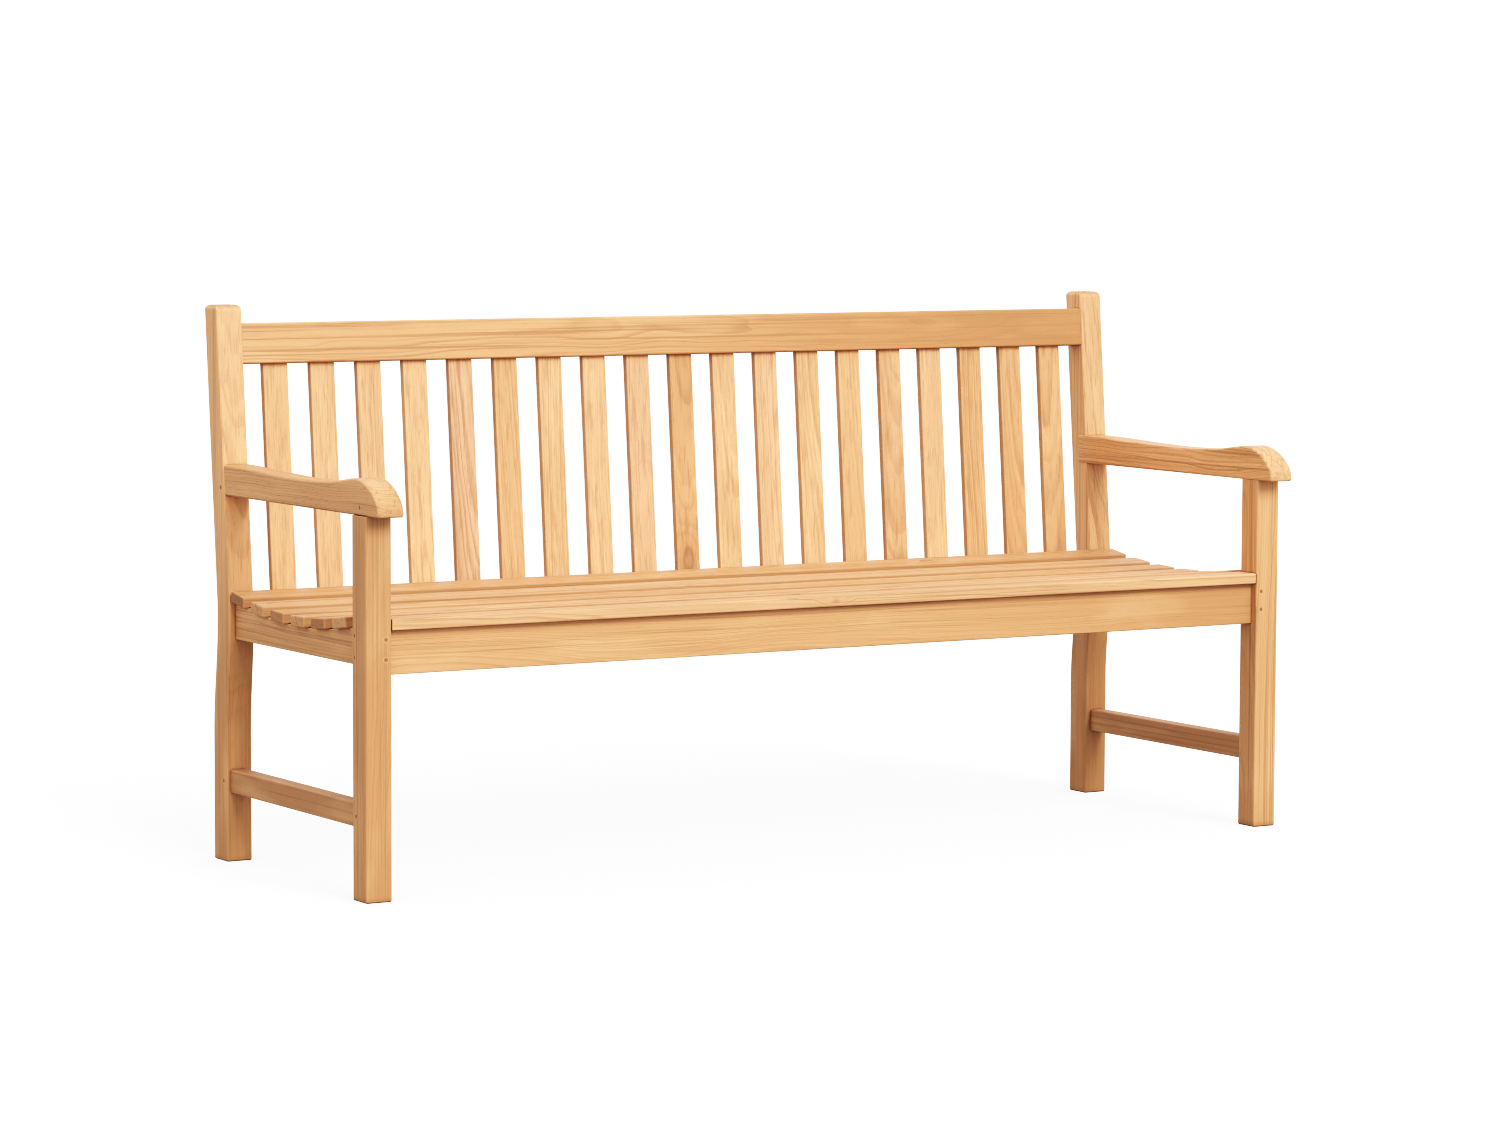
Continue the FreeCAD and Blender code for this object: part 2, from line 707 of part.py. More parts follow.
def top_rail_pegs():
    x = post_inner_x + rail_end_tenon_length / 2
    return back_pegs(x, top_tenon_d, rail_peg_heights((top_rail_low_h, top_rail_top_h)))


def rear_rail_pegs(post):
    """Driven from the back of the post, square to the upright rail."""
    x = post_inner_x + rail_end_tenon_length / 2
    pegs = []
    for z in rail_peg_heights(rear_rail_span_z):
        probe = Part.makeLine(Vector(x, rear_tenon_y[1], z), Vector(x, bench_depth, z))
        back_y = max(vertex.Point.y for vertex in probe.common(post).Vertexes)
        pegs.append((Vector(x, back_y, z), -AXIS_Y, back_y - rear_tenon_y[0] + rear_peg_past_tenon))
    return pegs


# ---- Building the pieces ----
def build():
    parts = {}
    post = post_body()
    post_pegs = stretcher_pegs()[1:] + arm_post_pegs() + top_rail_pegs() + rear_rail_pegs(post)
    leg_pegs = apron_pegs() + side_rail_pegs() + stretcher_pegs()[:1] + arm_leg_pegs()

    rear_post = post
    for mortise in (top_rail_tenon(glue_gap), rear_rail_tenon(glue_gap), arm_tenon(glue_gap),
                    side_rail_rear_tenon(glue_gap), stretcher_tenons(glue_gap)):
        rear_post = rear_post.cut(mortise)
    rear_post = drilled(rear_post, post_pegs)

    front_leg = joined(leg_body(), leg_top_tenon(0))
    for mortise in (apron_tenon(glue_gap), side_rail_front_tenon(glue_gap),
                    stretcher_tenons(glue_gap)):
        front_leg = front_leg.cut(mortise)
    front_leg = drilled(front_leg, leg_pegs)

    arm = max(arm_body().cut(post).Solids, key=lambda piece: piece.Volume)
    arm = joined(arm, arm_tenon(0)).cut(leg_top_tenon(glue_gap))
    arm = drilled(arm, arm_post_pegs() + arm_leg_pegs())

    side = drilled(side_rail(post), side_rail_pegs())
    side = bored(side, [places[-1] for places in map(fixing_places, range(1, seat_slat_count))])
    rung = drilled(stretcher(post), stretcher_pegs())

    for name, right in (("rear_post", rear_post), ("front_leg", front_leg), ("arm", arm),
                        ("side_rail", side), ("stretcher", rung)):
        parts[name + "_right"] = right
        parts[name + "_left"] = mirrored(right)

    parts["top_rail"] = drilled_both_ends(top_rail(), top_rail_pegs())
    rail = rear_seat_rail()
    for end in (-1, 1):
        rail = rail.cut(bearer_tenons(end, glue_gap))
    parts["rear_seat_rail"] = drilled_both_ends(rail, rear_rail_pegs(post))
    for index in range(back_slat_count):
        parts[f"back_slat_{index + 1:02d}"] = back_slat(index)

    apron = front_apron()
    for end in (-1, 1):
        apron = apron.cut(bearer_tenons(end, glue_gap))
    apron = bored(apron, fixing_places(0))
    parts["front_apron"] = drilled_both_ends(apron, apron_pegs())
    for end, name in ((-1, "seat_bearer_left"), (1, "seat_bearer_right")):
        places = [fixing_places(index)[1 if end < 0 else 2] for index in range(1, seat_slat_count)]
        parts[name] = bored(bearer(end), places)

    screws = []
    plugs = []
    for index in range(seat_slat_count):
        parts[f"seat_slat_{index + 1}"] = seat_slat(index)
        for place in fixing_places(index):
            screws.append(placed(screw(), place))
            plugs.append(placed(Part.makeCylinder(plug_diameter / 2, plug_depth), place))
    parts["seat_screws"] = group(screws)
    parts["seat_plugs"] = group(plugs)

    for name, pegs in (("apron_pegs", apron_pegs()), ("side_rail_pegs", side_rail_pegs()),
                       ("stretcher_pegs", stretcher_pegs()),
                       ("arm_pegs", arm_post_pegs() + arm_leg_pegs()),
                       ("top_rail_pegs", top_rail_pegs()),
                       ("rear_seat_rail_pegs", rear_rail_pegs(post))):
        right = [peg(*line) for line in pegs]
        parts[name] = group(right + [mirrored(solid) for solid in right])
    return parts


def drilled_both_ends(piece, pegs):
    return mirrored(drilled(mirrored(drilled(piece, pegs)), pegs))


os.makedirs("parts", exist_ok=True)
for node, shape in build().items():
    shape.exportStep(f"parts/{node}.step")
    print(node, len(shape.Solids), shape.isValid())
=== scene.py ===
import bpy
import math
from mathutils import Euler, Matrix, Vector


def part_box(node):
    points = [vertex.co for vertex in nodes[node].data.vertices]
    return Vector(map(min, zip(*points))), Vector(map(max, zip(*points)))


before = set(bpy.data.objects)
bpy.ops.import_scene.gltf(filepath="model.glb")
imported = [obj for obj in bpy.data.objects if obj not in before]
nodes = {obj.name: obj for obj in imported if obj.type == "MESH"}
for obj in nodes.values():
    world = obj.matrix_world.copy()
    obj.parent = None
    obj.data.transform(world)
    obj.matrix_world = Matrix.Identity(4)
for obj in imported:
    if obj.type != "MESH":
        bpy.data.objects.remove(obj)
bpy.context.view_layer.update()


# ---- Front legs ---------------------------------------------------------
# Two square legs, sawn from teak with the grain running up them, sanded and
# left bare. Each is mortised for the arm, the side rail, the stretcher and
# the apron, and the arrises are eased by hand.

def group(name, inputs, outputs):
    """A new node group with these inputs (name, kind, value) and outputs."""
    tree = bpy.data.node_groups.new(name, "ShaderNodeTree")
    for label, kind, value in inputs:
        socket = tree.interface.new_socket(label, in_out="INPUT",
                                           socket_type="NodeSocket" + kind)
        socket.default_value = value
    for label, kind in outputs:
        tree.interface.new_socket(label, in_out="OUTPUT",
                                  socket_type="NodeSocket" + kind)
    return tree


def add(tree, kind, settings=None, **links):
    """A node with its settings; a link is a socket to join or a value."""
    node = tree.nodes.new("ShaderNode" + kind)
    for key, value in (settings or {}).items():
        setattr(node, key, value)
    for key, value in links.items():
        key = key.replace("_", " ")
        socket = node.inputs[int(key[1:]) if key[1:].isdigit() else key]
        if isinstance(value, bpy.types.NodeSocket):
            tree.links.new(value, socket)
        else:
            socket.default_value = value
    return node


def sums(tree, operation, a, b=0.0, c=0.0):
    """The output of one Math node."""
    return add(tree, "Math", {"operation": operation}, i0=a, i1=b, i2=c).outputs[0]


def steps(tree, value, low, high, to_low=0.0, to_high=1.0):
    """A value eased from to_low at low to to_high at high."""
    node = add(tree, "MapRange", {"interpolation_type": "SMOOTHSTEP"}, Value=value,
               From_Min=low, From_Max=high, To_Min=to_low, To_Max=to_high)
    return node.outputs[0]


def noise(tree, place, seed, waves, detail, rough):
    """A noise from 0 to 1, with this many waves in a metre along X, Y and Z."""
    place = add(tree, "VectorMath", {"operation": "MULTIPLY"},
                i0=place, i1=waves).outputs[0]
    node = add(tree, "TexNoise", {"noise_dimensions": "4D"}, Vector=place, W=seed,
               Scale=1.0, Detail=detail, Roughness=rough)
    return node.outputs[0]


# Growth rings of a tree, cut by the board. X runs along the tree, and the
# heart is the line Y = Z = 0. The rings swell, wander and taper, so a board
# sawn beside the heart shows arches and one sawn through it shows lines.
rings = group("teak rings",
              [("Place", "Vector", (0, 0, 0)), ("Seed", "Float", 0.0),
               ("Ring Width", "Float", 0.004), ("Taper", "Float", 0.02),
               ("Wander", "Float", 0.006), ("Knot Place", "Vector", (0, 0, 9)),
               ("Knot Size", "Float", 0.01)],
              [("Late Wood", "Float"), ("Band", "Float"), ("Knot", "Float")])
inp = rings.nodes.new("NodeGroupInput").outputs
out = rings.nodes.new("NodeGroupOutput").inputs
place, seed = inp["Place"], inp["Seed"]

# How far each point is from the knot, in knot sizes. A knot is drawn out
# along the tree, and the rings bend round it.
KNOT_SQUEEZE = (0.45, 1, 1)
KNOT_REACH = 3.2            # where the rings run straight again
KNOT_BULGE = 1.1            # how far they bend, in knot sizes
apart = add(rings, "VectorMath", {"operation": "SUBTRACT"},
            i0=place, i1=inp["Knot Place"]).outputs[0]
apart = add(rings, "VectorMath", {"operation": "MULTIPLY"},
            i0=apart, i1=KNOT_SQUEEZE).outputs[0]
apart = add(rings, "VectorMath", {"operation": "LENGTH"}, i0=apart).outputs["Value"]
apart = sums(rings, "DIVIDE", apart, inp["Knot Size"])
bulge = sums(rings, "MULTIPLY", steps(rings, apart, 0.0, KNOT_REACH, 1.0, 0.0),
             sums(rings, "MULTIPLY", inp["Knot Size"], KNOT_BULGE))

# How far each point is from the heart, with slow sways, quick frets and the
# tree's taper. A sway and a fret are waves in a metre, along and across.
SWAY = (2.6, 11, 11)
FRET = (9, 60, 60)
FRET_DEPTH = 0.0022
split = add(rings, "SeparateXYZ", Vector=place).outputs
radius = sums(rings, "SQRT", sums(rings, "ADD",
                                  sums(rings, "MULTIPLY", split["Y"], split["Y"]),
                                  sums(rings, "MULTIPLY", split["Z"], split["Z"])))
sway = noise(rings, place, seed, SWAY, detail=1.5, rough=0.5)
sway = sums(rings, "MULTIPLY", sums(rings, "SUBTRACT", sway, 0.5), inp["Wander"])
fret = noise(rings, place, seed, FRET, detail=1.0, rough=0.5)
fret = sums(rings, "MULTIPLY", sums(rings, "SUBTRACT", fret, 0.5), FRET_DEPTH)
depth = sums(rings, "ADD", radius, sums(rings, "MULTIPLY_ADD", sway, 2.0, fret))
depth = sums(rings, "MULTIPLY_ADD", split["X"], inp["Taper"], depth)
depth = sums(rings, "ADD", depth, bulge)

# Rings counted from the heart. Good and poor years come in runs, which widen
# some rings, and no two years leave equally dark late wood.
YEAR_RUNS = 0.45            # runs in a ring
YEAR_SHIFT = 2.4            # how far they move a ring, in rings
PALEST_YEAR = 0.25
count = sums(rings, "DIVIDE", depth, inp["Ring Width"])
uneven = add(rings, "TexNoise", {"noise_dimensions": "1D"}, W=count, Scale=YEAR_RUNS,
             Detail=1.0, Roughness=0.5).outputs[0]
count = sums(rings, "MULTIPLY_ADD", uneven, YEAR_SHIFT, count)
part = sums(rings, "FRACT", count)      # 0 in spring, and 1 at the year's end
late = sums(rings, "MULTIPLY", steps(rings, part, 0.40, 0.88),
            steps(rings, part, 0.94, 1.0, 1.0, 0.0))
year = add(rings, "TexWhiteNoise", {"noise_dimensions": "1D"},
           W=sums(rings, "ADD", sums(rings, "FLOOR", count), seed)).outputs["Value"]
late = sums(rings, "MULTIPLY", late,
            sums(rings, "MULTIPLY_ADD", year, 1.0 - PALEST_YEAR, PALEST_YEAR))
rings.links.new(late, out["Late Wood"])
rings.links.new(steps(rings, uneven, 0.25, 0.75), out["Band"])
eye = sums(rings, "MULTIPLY", steps(rings, apart, 0.75, 1.15, 1.0, 0.0),
           steps(rings, apart, 0.15, 0.8, 0.45, 1.0))
rings.links.new(eye, out["Knot"])

# The fibres, the open pores that read as fine dark dashes, the thin mineral
# streaks and the broad clouds of tone. All are drawn out along the board, and
# given as waves in a metre, along and across.
FINE_FIBRE = (3, 430, 430)
COARSE_FIBRE = (1.2, 190, 190)
PORE = (75, 1500, 1500)
STREAK = (1.4, 190, 190)
CLOUD = (4.5, 22, 22)
fibre = group("teak fibre",
              [("Place", "Vector", (0, 0, 0)), ("Seed", "Float", 0.0)],
              [("Fibre", "Float"), ("Pores", "Float"), ("Streaks", "Float"),
               ("Cloud", "Float")])
inp = fibre.nodes.new("NodeGroupInput").outputs
out = fibre.nodes.new("NodeGroupOutput").inputs
place, seed = inp["Place"], inp["Seed"]
fine = noise(fibre, place, seed, FINE_FIBRE, detail=3.0, rough=0.65)
coarse = noise(fibre, place, seed, COARSE_FIBRE, detail=2.0, rough=0.6)
fibre.links.new(sums(fibre, "MULTIPLY_ADD", fine, 0.5, sums(fibre, "MULTIPLY", coarse, 0.5)),
                out["Fibre"])
dashes = noise(fibre, place, seed, PORE, detail=1.0, rough=0.5)
fibre.links.new(steps(fibre, dashes, 0.60, 0.74), out["Pores"])
streak = noise(fibre, place, seed, STREAK, detail=3.0, rough=0.6)
fibre.links.new(steps(fibre, streak, 0.56, 0.63), out["Streaks"])
cloud = noise(fibre, place, seed, CLOUD, detail=2.0, rough=0.5)
fibre.links.new(cloud, out["Cloud"])

# Where the cut runs across the fibres they drink in dirt and turn darker:
# 1 on a face square to the grain, 0 on a face along it. Turned to another
# direction, the same mask picks the faces that get painted shade.
end_grain_and_face_shade = group("teak end grain and face shade", [("Along", "Vector", (1, 0, 0))], [("End", "Float")])
inp = end_grain_and_face_shade.nodes.new("NodeGroupInput").outputs
out = end_grain_and_face_shade.nodes.new("NodeGroupOutput").inputs
facing = add(end_grain_and_face_shade, "TexCoord").outputs["Normal"]
facing = add(end_grain_and_face_shade, "VectorMath", {"operation": "DOT_PRODUCT"},
             i0=facing, i1=inp["Along"]).outputs["Value"]
end_grain_and_face_shade.links.new(steps(end_grain_and_face_shade, sums(end_grain_and_face_shade, "ABSOLUTE", facing), 0.45, 0.85),
                    out["End"])

# Painted shade: corners, gaps and the wood under an overlap, where shade falls,
# are painted darker: 1 deep in a corner or under an overlap, 0 in the open.
painted_corner_shade = group("painted corner shade", [("Reach", "Float", 0.02)], [("Shade", "Float")])
inp = painted_corner_shade.nodes.new("NodeGroupInput").outputs
out = painted_corner_shade.nodes.new("NodeGroupOutput").inputs
open_air = add(painted_corner_shade, "AmbientOcclusion", {"samples": 6},
               Distance=inp["Reach"]).outputs["AO"]
painted_corner_shade.links.new(steps(painted_corner_shade, open_air, 0.82, 0.42), out["Shade"])

# Sanded arrises show fresh, paler wood, and the paler edge is also a painted highlight where
# light catches each arris: 1 on an edge, 0 on a flat.
edge_wear_and_highlight = group("edge wear and highlight", [("Radius", "Float", 0.003)], [("Edge", "Float")])
inp = edge_wear_and_highlight.nodes.new("NodeGroupInput").outputs
out = edge_wear_and_highlight.nodes.new("NodeGroupOutput").inputs
softened = add(edge_wear_and_highlight, "Bevel", {"samples": 4}, Radius=inp["Radius"]).outputs[0]
plain = add(edge_wear_and_highlight, "NewGeometry").outputs["True Normal"]
bent = add(edge_wear_and_highlight, "VectorMath", {"operation": "DOT_PRODUCT"},
           i0=softened, i1=plain).outputs["Value"]
edge_wear_and_highlight.links.new(steps(edge_wear_and_highlight, bent, 0.995, 0.86), out["Edge"])

# The turn that brings each grain direction onto X, and that direction.
GRAIN = {"X": (Euler((0, 0, 0)), (1, 0, 0)),
         "Y": (Euler((0, 0, -math.pi / 2)), (0, 1, 0)),
         "Z": (Euler((0, math.pi / 2, 0)), (0, 0, 1))}

# Bare teak, from its palest boards to its darkest pores.
PALE = Vector((0.850, 0.425, 0.195))
HONEY = Vector((0.660, 0.297, 0.122))
TAN = Vector((0.325, 0.138, 0.052))
PINK = Vector((0.690, 0.340, 0.200))
AMBER = Vector((0.345, 0.135, 0.042))
BROWN = Vector((0.130, 0.048, 0.017))


def teak(name, grain, heart, seed, tone=0.6, blush=0.0, ring=0.0045, taper=0.02,
         wander=0.012, figure=0.5, streaks=0.35, knot=None, knot_size=0.012,
         soak=0.45, pores=0.35, deepen=(), shaded_faces=None):
    """Bare sanded teak for one board.

    heart is a point on the line where the tree's middle ran. tone runs from 0,
    straw, over 1, honey, to 2, tan, and blush turns it pink. figure, streaks
    and pores are how dark the rings, the streaks and the pores are, and soak
    how dark the end grain is. Each of deepen is an axis, where the wood starts
    to turn browner along it, where it has, and by how much: a board's own tone
    on some boards, painted shade on others. shaded_faces is a direction whose
    faces are painted darker as painted shade, and how much darker they are.
    """
    mat = bpy.data.materials.new("teak " + name)
    mat.use_nodes = True
    tree = mat.node_tree
    shader = tree.nodes["Principled BSDF"]
    turn, along = GRAIN[grain]
    where = add(tree, "TexCoord").outputs["Object"]
    middle = turn.to_matrix() @ Vector(heart)
    board = add(tree, "Mapping", {"vector_type": "POINT"}, Vector=where,
                Location=(0, -middle.y, -middle.z), Rotation=turn).outputs[0]
    ring_node = add(tree, "Group", {"node_tree": rings}, Place=board, Seed=seed,
                    Ring_Width=ring, Taper=taper, Wander=wander)
    if knot:
        eye = turn.to_matrix() @ Vector(knot)
        ring_node.inputs["Knot Place"].default_value = (
            eye.x, eye.y - middle.y, eye.z - middle.z)
        ring_node.inputs["Knot Size"].default_value = knot_size
    line = ring_node.outputs
    cells = add(tree, "Group", {"node_tree": fibre}, Place=board, Seed=seed).outputs
    end = add(tree, "Group", {"node_tree": end_grain_and_face_shade}, Along=along).outputs["End"]
    edge = add(tree, "Group", {"node_tree": edge_wear_and_highlight}, Radius=0.003).outputs["Edge"]
    corner_shade = add(tree, "Group", {"node_tree": painted_corner_shade}, Reach=0.006).outputs["Shade"]

    early = PALE.lerp(HONEY, min(tone, 1.0)).lerp(TAN, max(tone - 1.0, 0.0))
    early = early.lerp(PINK, blush)
    late = early.lerp(TAN, 0.85)
    cloudy = early.lerp(TAN, 0.45)
    vein = TAN.lerp(BROWN, 0.3)
    soaked = TAN.lerp(BROWN, 0.8)

    def stain(under, over, mask, strength):
        """One colour laid over another where the mask is 1."""
        node = add(tree, "Mix", {"data_type": "RGBA"},
                   i0=sums(tree, "MULTIPLY", mask, strength))
        for socket, value in ((node.inputs[6], under), (node.inputs[7], over)):
            if isinstance(value, bpy.types.NodeSocket):
                tree.links.new(value, socket)
            else:
                socket.default_value = (*value, 1.0)
        return node.outputs[2]

    paint = stain(early, late, line["Late Wood"], min(figure * 1.9, 1.0))
    paint = stain(paint, TAN, line["Band"], figure * 0.4)
    for axis, start, full, amount in deepen:
        way = add(tree, "SeparateXYZ", Vector=where).outputs[axis]
        patchy = sums(tree, "MULTIPLY_ADD", cells["Cloud"], 0.9, 0.55)
        paint = stain(paint, AMBER, steps(tree, way, start, full, 0.0, amount), patchy)
    paint = stain(paint, vein, cells["Streaks"], streaks * 0.65)
    paint = stain(paint, cloudy, steps(tree, cells["Cloud"], 0.36, 0.66), 0.38)
    paint = stain(paint, PALE, steps(tree, cells["Cloud"], 0.50, 0.30), 0.22)
    paint = stain(paint, vein, steps(tree, cells["Fibre"], 0.46, 0.60), 0.30)
    paint = stain(paint, BROWN, cells["Pores"], pores * 0.6)
    paint = stain(paint, BROWN, line["Knot"], 0.5)
    # Faces turned one way are painted darker: painted shade.
    if shaded_faces:
        shaded_way, darker = shaded_faces
        shaded_face = add(tree, "Group", {"node_tree": end_grain_and_face_shade}, Along=shaded_way).outputs["End"]
        paint = stain(paint, TAN, shaded_face, darker)
    paint = stain(paint, soaked, end, soak)
    # Paler edges: sanded wear, and a painted highlight along each arris.
    paint = stain(paint, PALE, edge, 0.5)
    # Painted shade in corners, in gaps and under overlaps.
    paint = stain(paint, BROWN, corner_shade, 0.85)
    tree.links.new(paint, shader.inputs["Base Color"])

    # Fibres and end grain are duller than smooth late wood, and pores are pits.
    gloss = sums(tree, "MULTIPLY_ADD", cells["Fibre"], 0.22, 0.50)
    gloss = sums(tree, "MULTIPLY_ADD", line["Late Wood"], -0.08, gloss)
    tree.links.new(sums(tree, "MULTIPLY_ADD", end, 0.12, gloss), shader.inputs["Roughness"])
    shader.inputs["Specular IOR Level"].default_value = 0.32

    height = sums(tree, "MULTIPLY_ADD", cells["Pores"], -0.8,
                  sums(tree, "MULTIPLY", cells["Fibre"], 0.5))
    height = sums(tree, "MULTIPLY_ADD", line["Late Wood"], 0.25, height)
    bump = add(tree, "Bump", Strength=0.35, Distance=0.0004, Height=height)
    tree.links.new(bump.outputs[0], shader.inputs["Normal"])
    return mat


def finish_in(node, mat):
    """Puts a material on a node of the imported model."""
    nodes[node].data.materials.clear()
    nodes[node].data.materials.append(mat)


def beside(node, x=0.0, y=0.0, z=0.0):
    """The middle of a node's box, moved by x, y and z."""
    low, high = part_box(node)
    return (Vector(low) + Vector(high)) / 2 + Vector((x, y, z))


FOOT = ("Z", 0.012, 0.003, 0.95)        # the last of a leg, darker towards the bottom
SHIN = ("Z", 0.12, 0.0, 0.3)            # and the wood above it, a little darker lower down
finish_in("front_leg_left", teak("front leg left", "Z", beside("front_leg_left", 0.05, 0.05),
                                 seed=1.3, tone=1.45, figure=0.85, streaks=0.9,
                                 deepen=(SHIN, FOOT)))
finish_in("front_leg_right", teak("front leg right", "Z", beside("front_leg_right", 0.07, 0.03),
                                  seed=2.7, tone=1.0, figure=0.7, streaks=0.7,
                                  deepen=(SHIN, FOOT)))


# ---- Rear posts ---------------------------------------------------------
# The two rear legs run on up as the back posts. Each is sawn in one piece
# from a wide teak plank, kicked back below the knee and leaning above the
# seat, so the grain runs straight through the bend. Below the seat they are
# painted darker downwards: painted shade from the seat over them.

# Both posts darken from below the seat downwards: painted shade under the seat.
finish_in("rear_post_left", teak("rear post left", "Z", beside("rear_post_left", 0.01, 0.16),
                                 seed=3.1, tone=0.45, figure=0.35, streaks=0.35, taper=0.035,
                                 deepen=(("Z", 0.60, 0.30, 0.80), FOOT)))
# The right post's front and back faces are painted darker as well: painted shade.
finish_in("rear_post_right", teak("rear post right", "Z", beside("rear_post_right", 0.05, 0.10),
                                  seed=4.9, tone=0.40, figure=0.45, streaks=0.6,
                                  shaded_faces=((0, 1, 0), 0.15), deepen=(("Z", 0.44, 0.26, 0.90), FOOT)))


# ---- Arms ---------------------------------------------------------------
# Each arm is cut from one thick teak board, hollowed along its top and
# rolled over at the nose. The left one came from a darker board.

finish_in("arm_left", teak("arm left", "Y", beside("arm_left", -0.02, 0, -0.09),
                           seed=5.3, tone=1.15, figure=0.55, streaks=1.0, pores=1.0, soak=0.0,
                           wander=0.02))
finish_in("arm_right", teak("arm right", "Y", beside("arm_right", -0.05, 0, 0.05),
                            seed=6.1, tone=0.40, figure=0.85, streaks=0.7, pores=0.9, soak=0.0,
                            wander=0.03))


# ---- Top rail and rear seat rail ----------------------------------------
# Two long teak rails tenoned between the posts. The top rail has long wavy
# streaks and turns more orange towards its right-hand end.

finish_in("top_rail", teak("top rail", "X", beside("top_rail", 0, 0.05, 0.01),
                           seed=7.7, tone=0.85, figure=0.75, streaks=1.0, ring=0.0035,
                           wander=0.02, taper=0.010, deepen=(("X", -0.5, 0.9, 1.0),)))
finish_in("rear_seat_rail", teak("rear seat rail", "X", beside("rear_seat_rail", 0, 0.06, 0.02),
                                 seed=8.3, tone=0.9, figure=0.4))


# ---- Back slats ---------------------------------------------------------
# Nineteen thin teak slats tenoned into the two rails. They come from many
# boards, so their tone differs and some show arches where others are plain.

# For each slat from left to right: its tone, its blush, how far to one side
# and how far behind the heart ran, and how dark its rings are.
SLATS = [(0.65, 0.0, 0.070, 0.030, 0.25), (0.60, 0.1, 0.090, 0.020, 0.20),
         (0.55, 0.1, 0.080, 0.010, 0.35), (0.30, 0.0, 0.060, 0.030, 0.20),
         (0.90, 0.6, 0.030, 0.040, 0.75), (0.80, 0.0, 0.050, 0.050, 0.35),
         (0.50, 0.0, 0.090, 0.000, 0.45), (0.50, 0.1, 0.080, 0.010, 0.30),
         (0.60, 0.3, 0.070, 0.010, 0.30), (1.10, 0.0, 0.004, 0.045, 0.85),
         (0.40, 0.0, 0.020, 0.070, 0.45), (0.40, 0.2, 0.060, 0.020, 0.30),
         (0.55, 0.0, 0.030, 0.050, 0.40), (0.75, 0.0, 0.050, 0.040, 0.30),
         (1.05, 0.2, 0.012, 0.060, 0.70), (0.45, 0.1, 0.070, 0.020, 0.30),
         (1.00, 0.0, 0.060, 0.030, 0.60), (1.05, 0.0, 0.025, 0.045, 0.75),
         (0.80, 0.0, -0.012, 0.050, 0.95)]
KNOTTY = {10: -0.165}       # the slat with a knot, and how far above its middle
for number, (tone, blush, across, behind, figure) in enumerate(SLATS, 1):
    slat = f"back_slat_{number:02d}"
    knot = beside(slat, 0.0, -0.02, KNOTTY[number]) if number in KNOTTY else None
    # Each slat's side faces, in the narrow gaps between slats, get painted shade.
    finish_in(slat, teak(f"back slat {number}", "Z", beside(slat, across, behind),
                         seed=9.0 + number * 1.7, tone=tone, blush=blush, figure=figure,
                         taper=0.03, ring=0.006, knot=knot, streaks=0.35 + figure * 0.3,
                         shaded_faces=((1, 0, 0), 0.5)))


# ---- Seat frame ---------------------------------------------------------
# The apron under the front of the seat, the side rails and bearers that the
# slats lie on, and the low stretcher at each end, all of teak and pegged.

finish_in("front_apron", teak("front apron", "X", beside("front_apron", 0, 0.030, -0.045),
                              seed=41.3, tone=1.0, figure=0.38, streaks=0.8,
                              ring=0.0035, wander=0.020, taper=0.010,
                              deepen=(("X", 0.2, 0.85, 0.6),)))
for number, side in enumerate(("left", "right")):
    finish_in("side_rail_" + side, teak("side rail " + side, "Y",
                                        beside("side_rail_" + side, 0.04, 0, 0.03),
                                        seed=43.1 + number * 3, tone=1.20,
                                        figure=0.8, streaks=1.0, pores=0.7))
    finish_in("stretcher_" + side, teak("stretcher " + side, "Y",
                                        beside("stretcher_" + side, 0.03, 0, 0.02),
                                        seed=49.1 + number * 3,
                                        tone=1.80 - number * 0.25,
                                        figure=0.8, streaks=1.0, pores=0.7))
    finish_in("seat_bearer_" + side, teak("seat bearer " + side, "Y",
                                          beside("seat_bearer_" + side, 0.03, 0, -0.05),
                                          seed=55.1 + number * 3, tone=0.9, figure=0.4))


# ---- Seat slats ---------------------------------------------------------
# Seven teak slats screwed down into the hollow of the side rails. Their
# sawn ends are weathered, some brown and some still pale.

# For each slat from the front: its tone, its blush, how far behind and above
# it the heart ran, how dark its rings are, and how dark its ends are.
SEAT = [(0.60, 0.1, 0.050, -0.030, 0.55, 0.60), (0.55, 0.2, 0.070, -0.010, 0.50, 0.30),
        (0.90, 0.0, 0.010, -0.060, 0.60, 0.65), (0.60, 0.1, 0.060, -0.030, 0.50, 0.35),
        (1.00, 0.0, 0.020, -0.050, 0.60, 0.55), (0.70, 0.2, 0.050, -0.040, 0.55, 0.30),
        (1.15, 0.0, 0.030, -0.050, 0.60, 0.75)]
# Two of them show a knot: how far along, behind and above the middle it is,
# and its size.
SEAT_KNOTS = {1: ((-0.023, -0.030, 0.0), 0.007), 7: ((0.470, 0.0, 0.009), 0.006)}
for number, (tone, blush, behind, above, figure, soak) in enumerate(SEAT, 1):
    slat = f"seat_slat_{number}"
    knot, knot_size = SEAT_KNOTS.get(number, (None, None))
    # The front and back faces in the gaps between seat slats get painted shade; the front slat's
    # lit front face is left alone.
    finish_in(slat, teak(f"seat slat {number}", "X", beside(slat, 0, behind, above),
                         seed=61.0 + number * 2.3, tone=tone, blush=blush, figure=figure,
                         soak=soak, streaks=0.8, taper=0.012, ring=0.0035,
                         knot=beside(slat, *knot) if knot else None, knot_size=knot_size,
                         shaded_faces=((0, 1, 0), 0.55) if number > 1 else None))


# ---- Pegs, plugs and screws ---------------------------------------------
# Turned teak pegs lock every tenon and are sanded flush, so their dark end
# grain shows as small rounds. Plugs of the same teak cover brass screws.

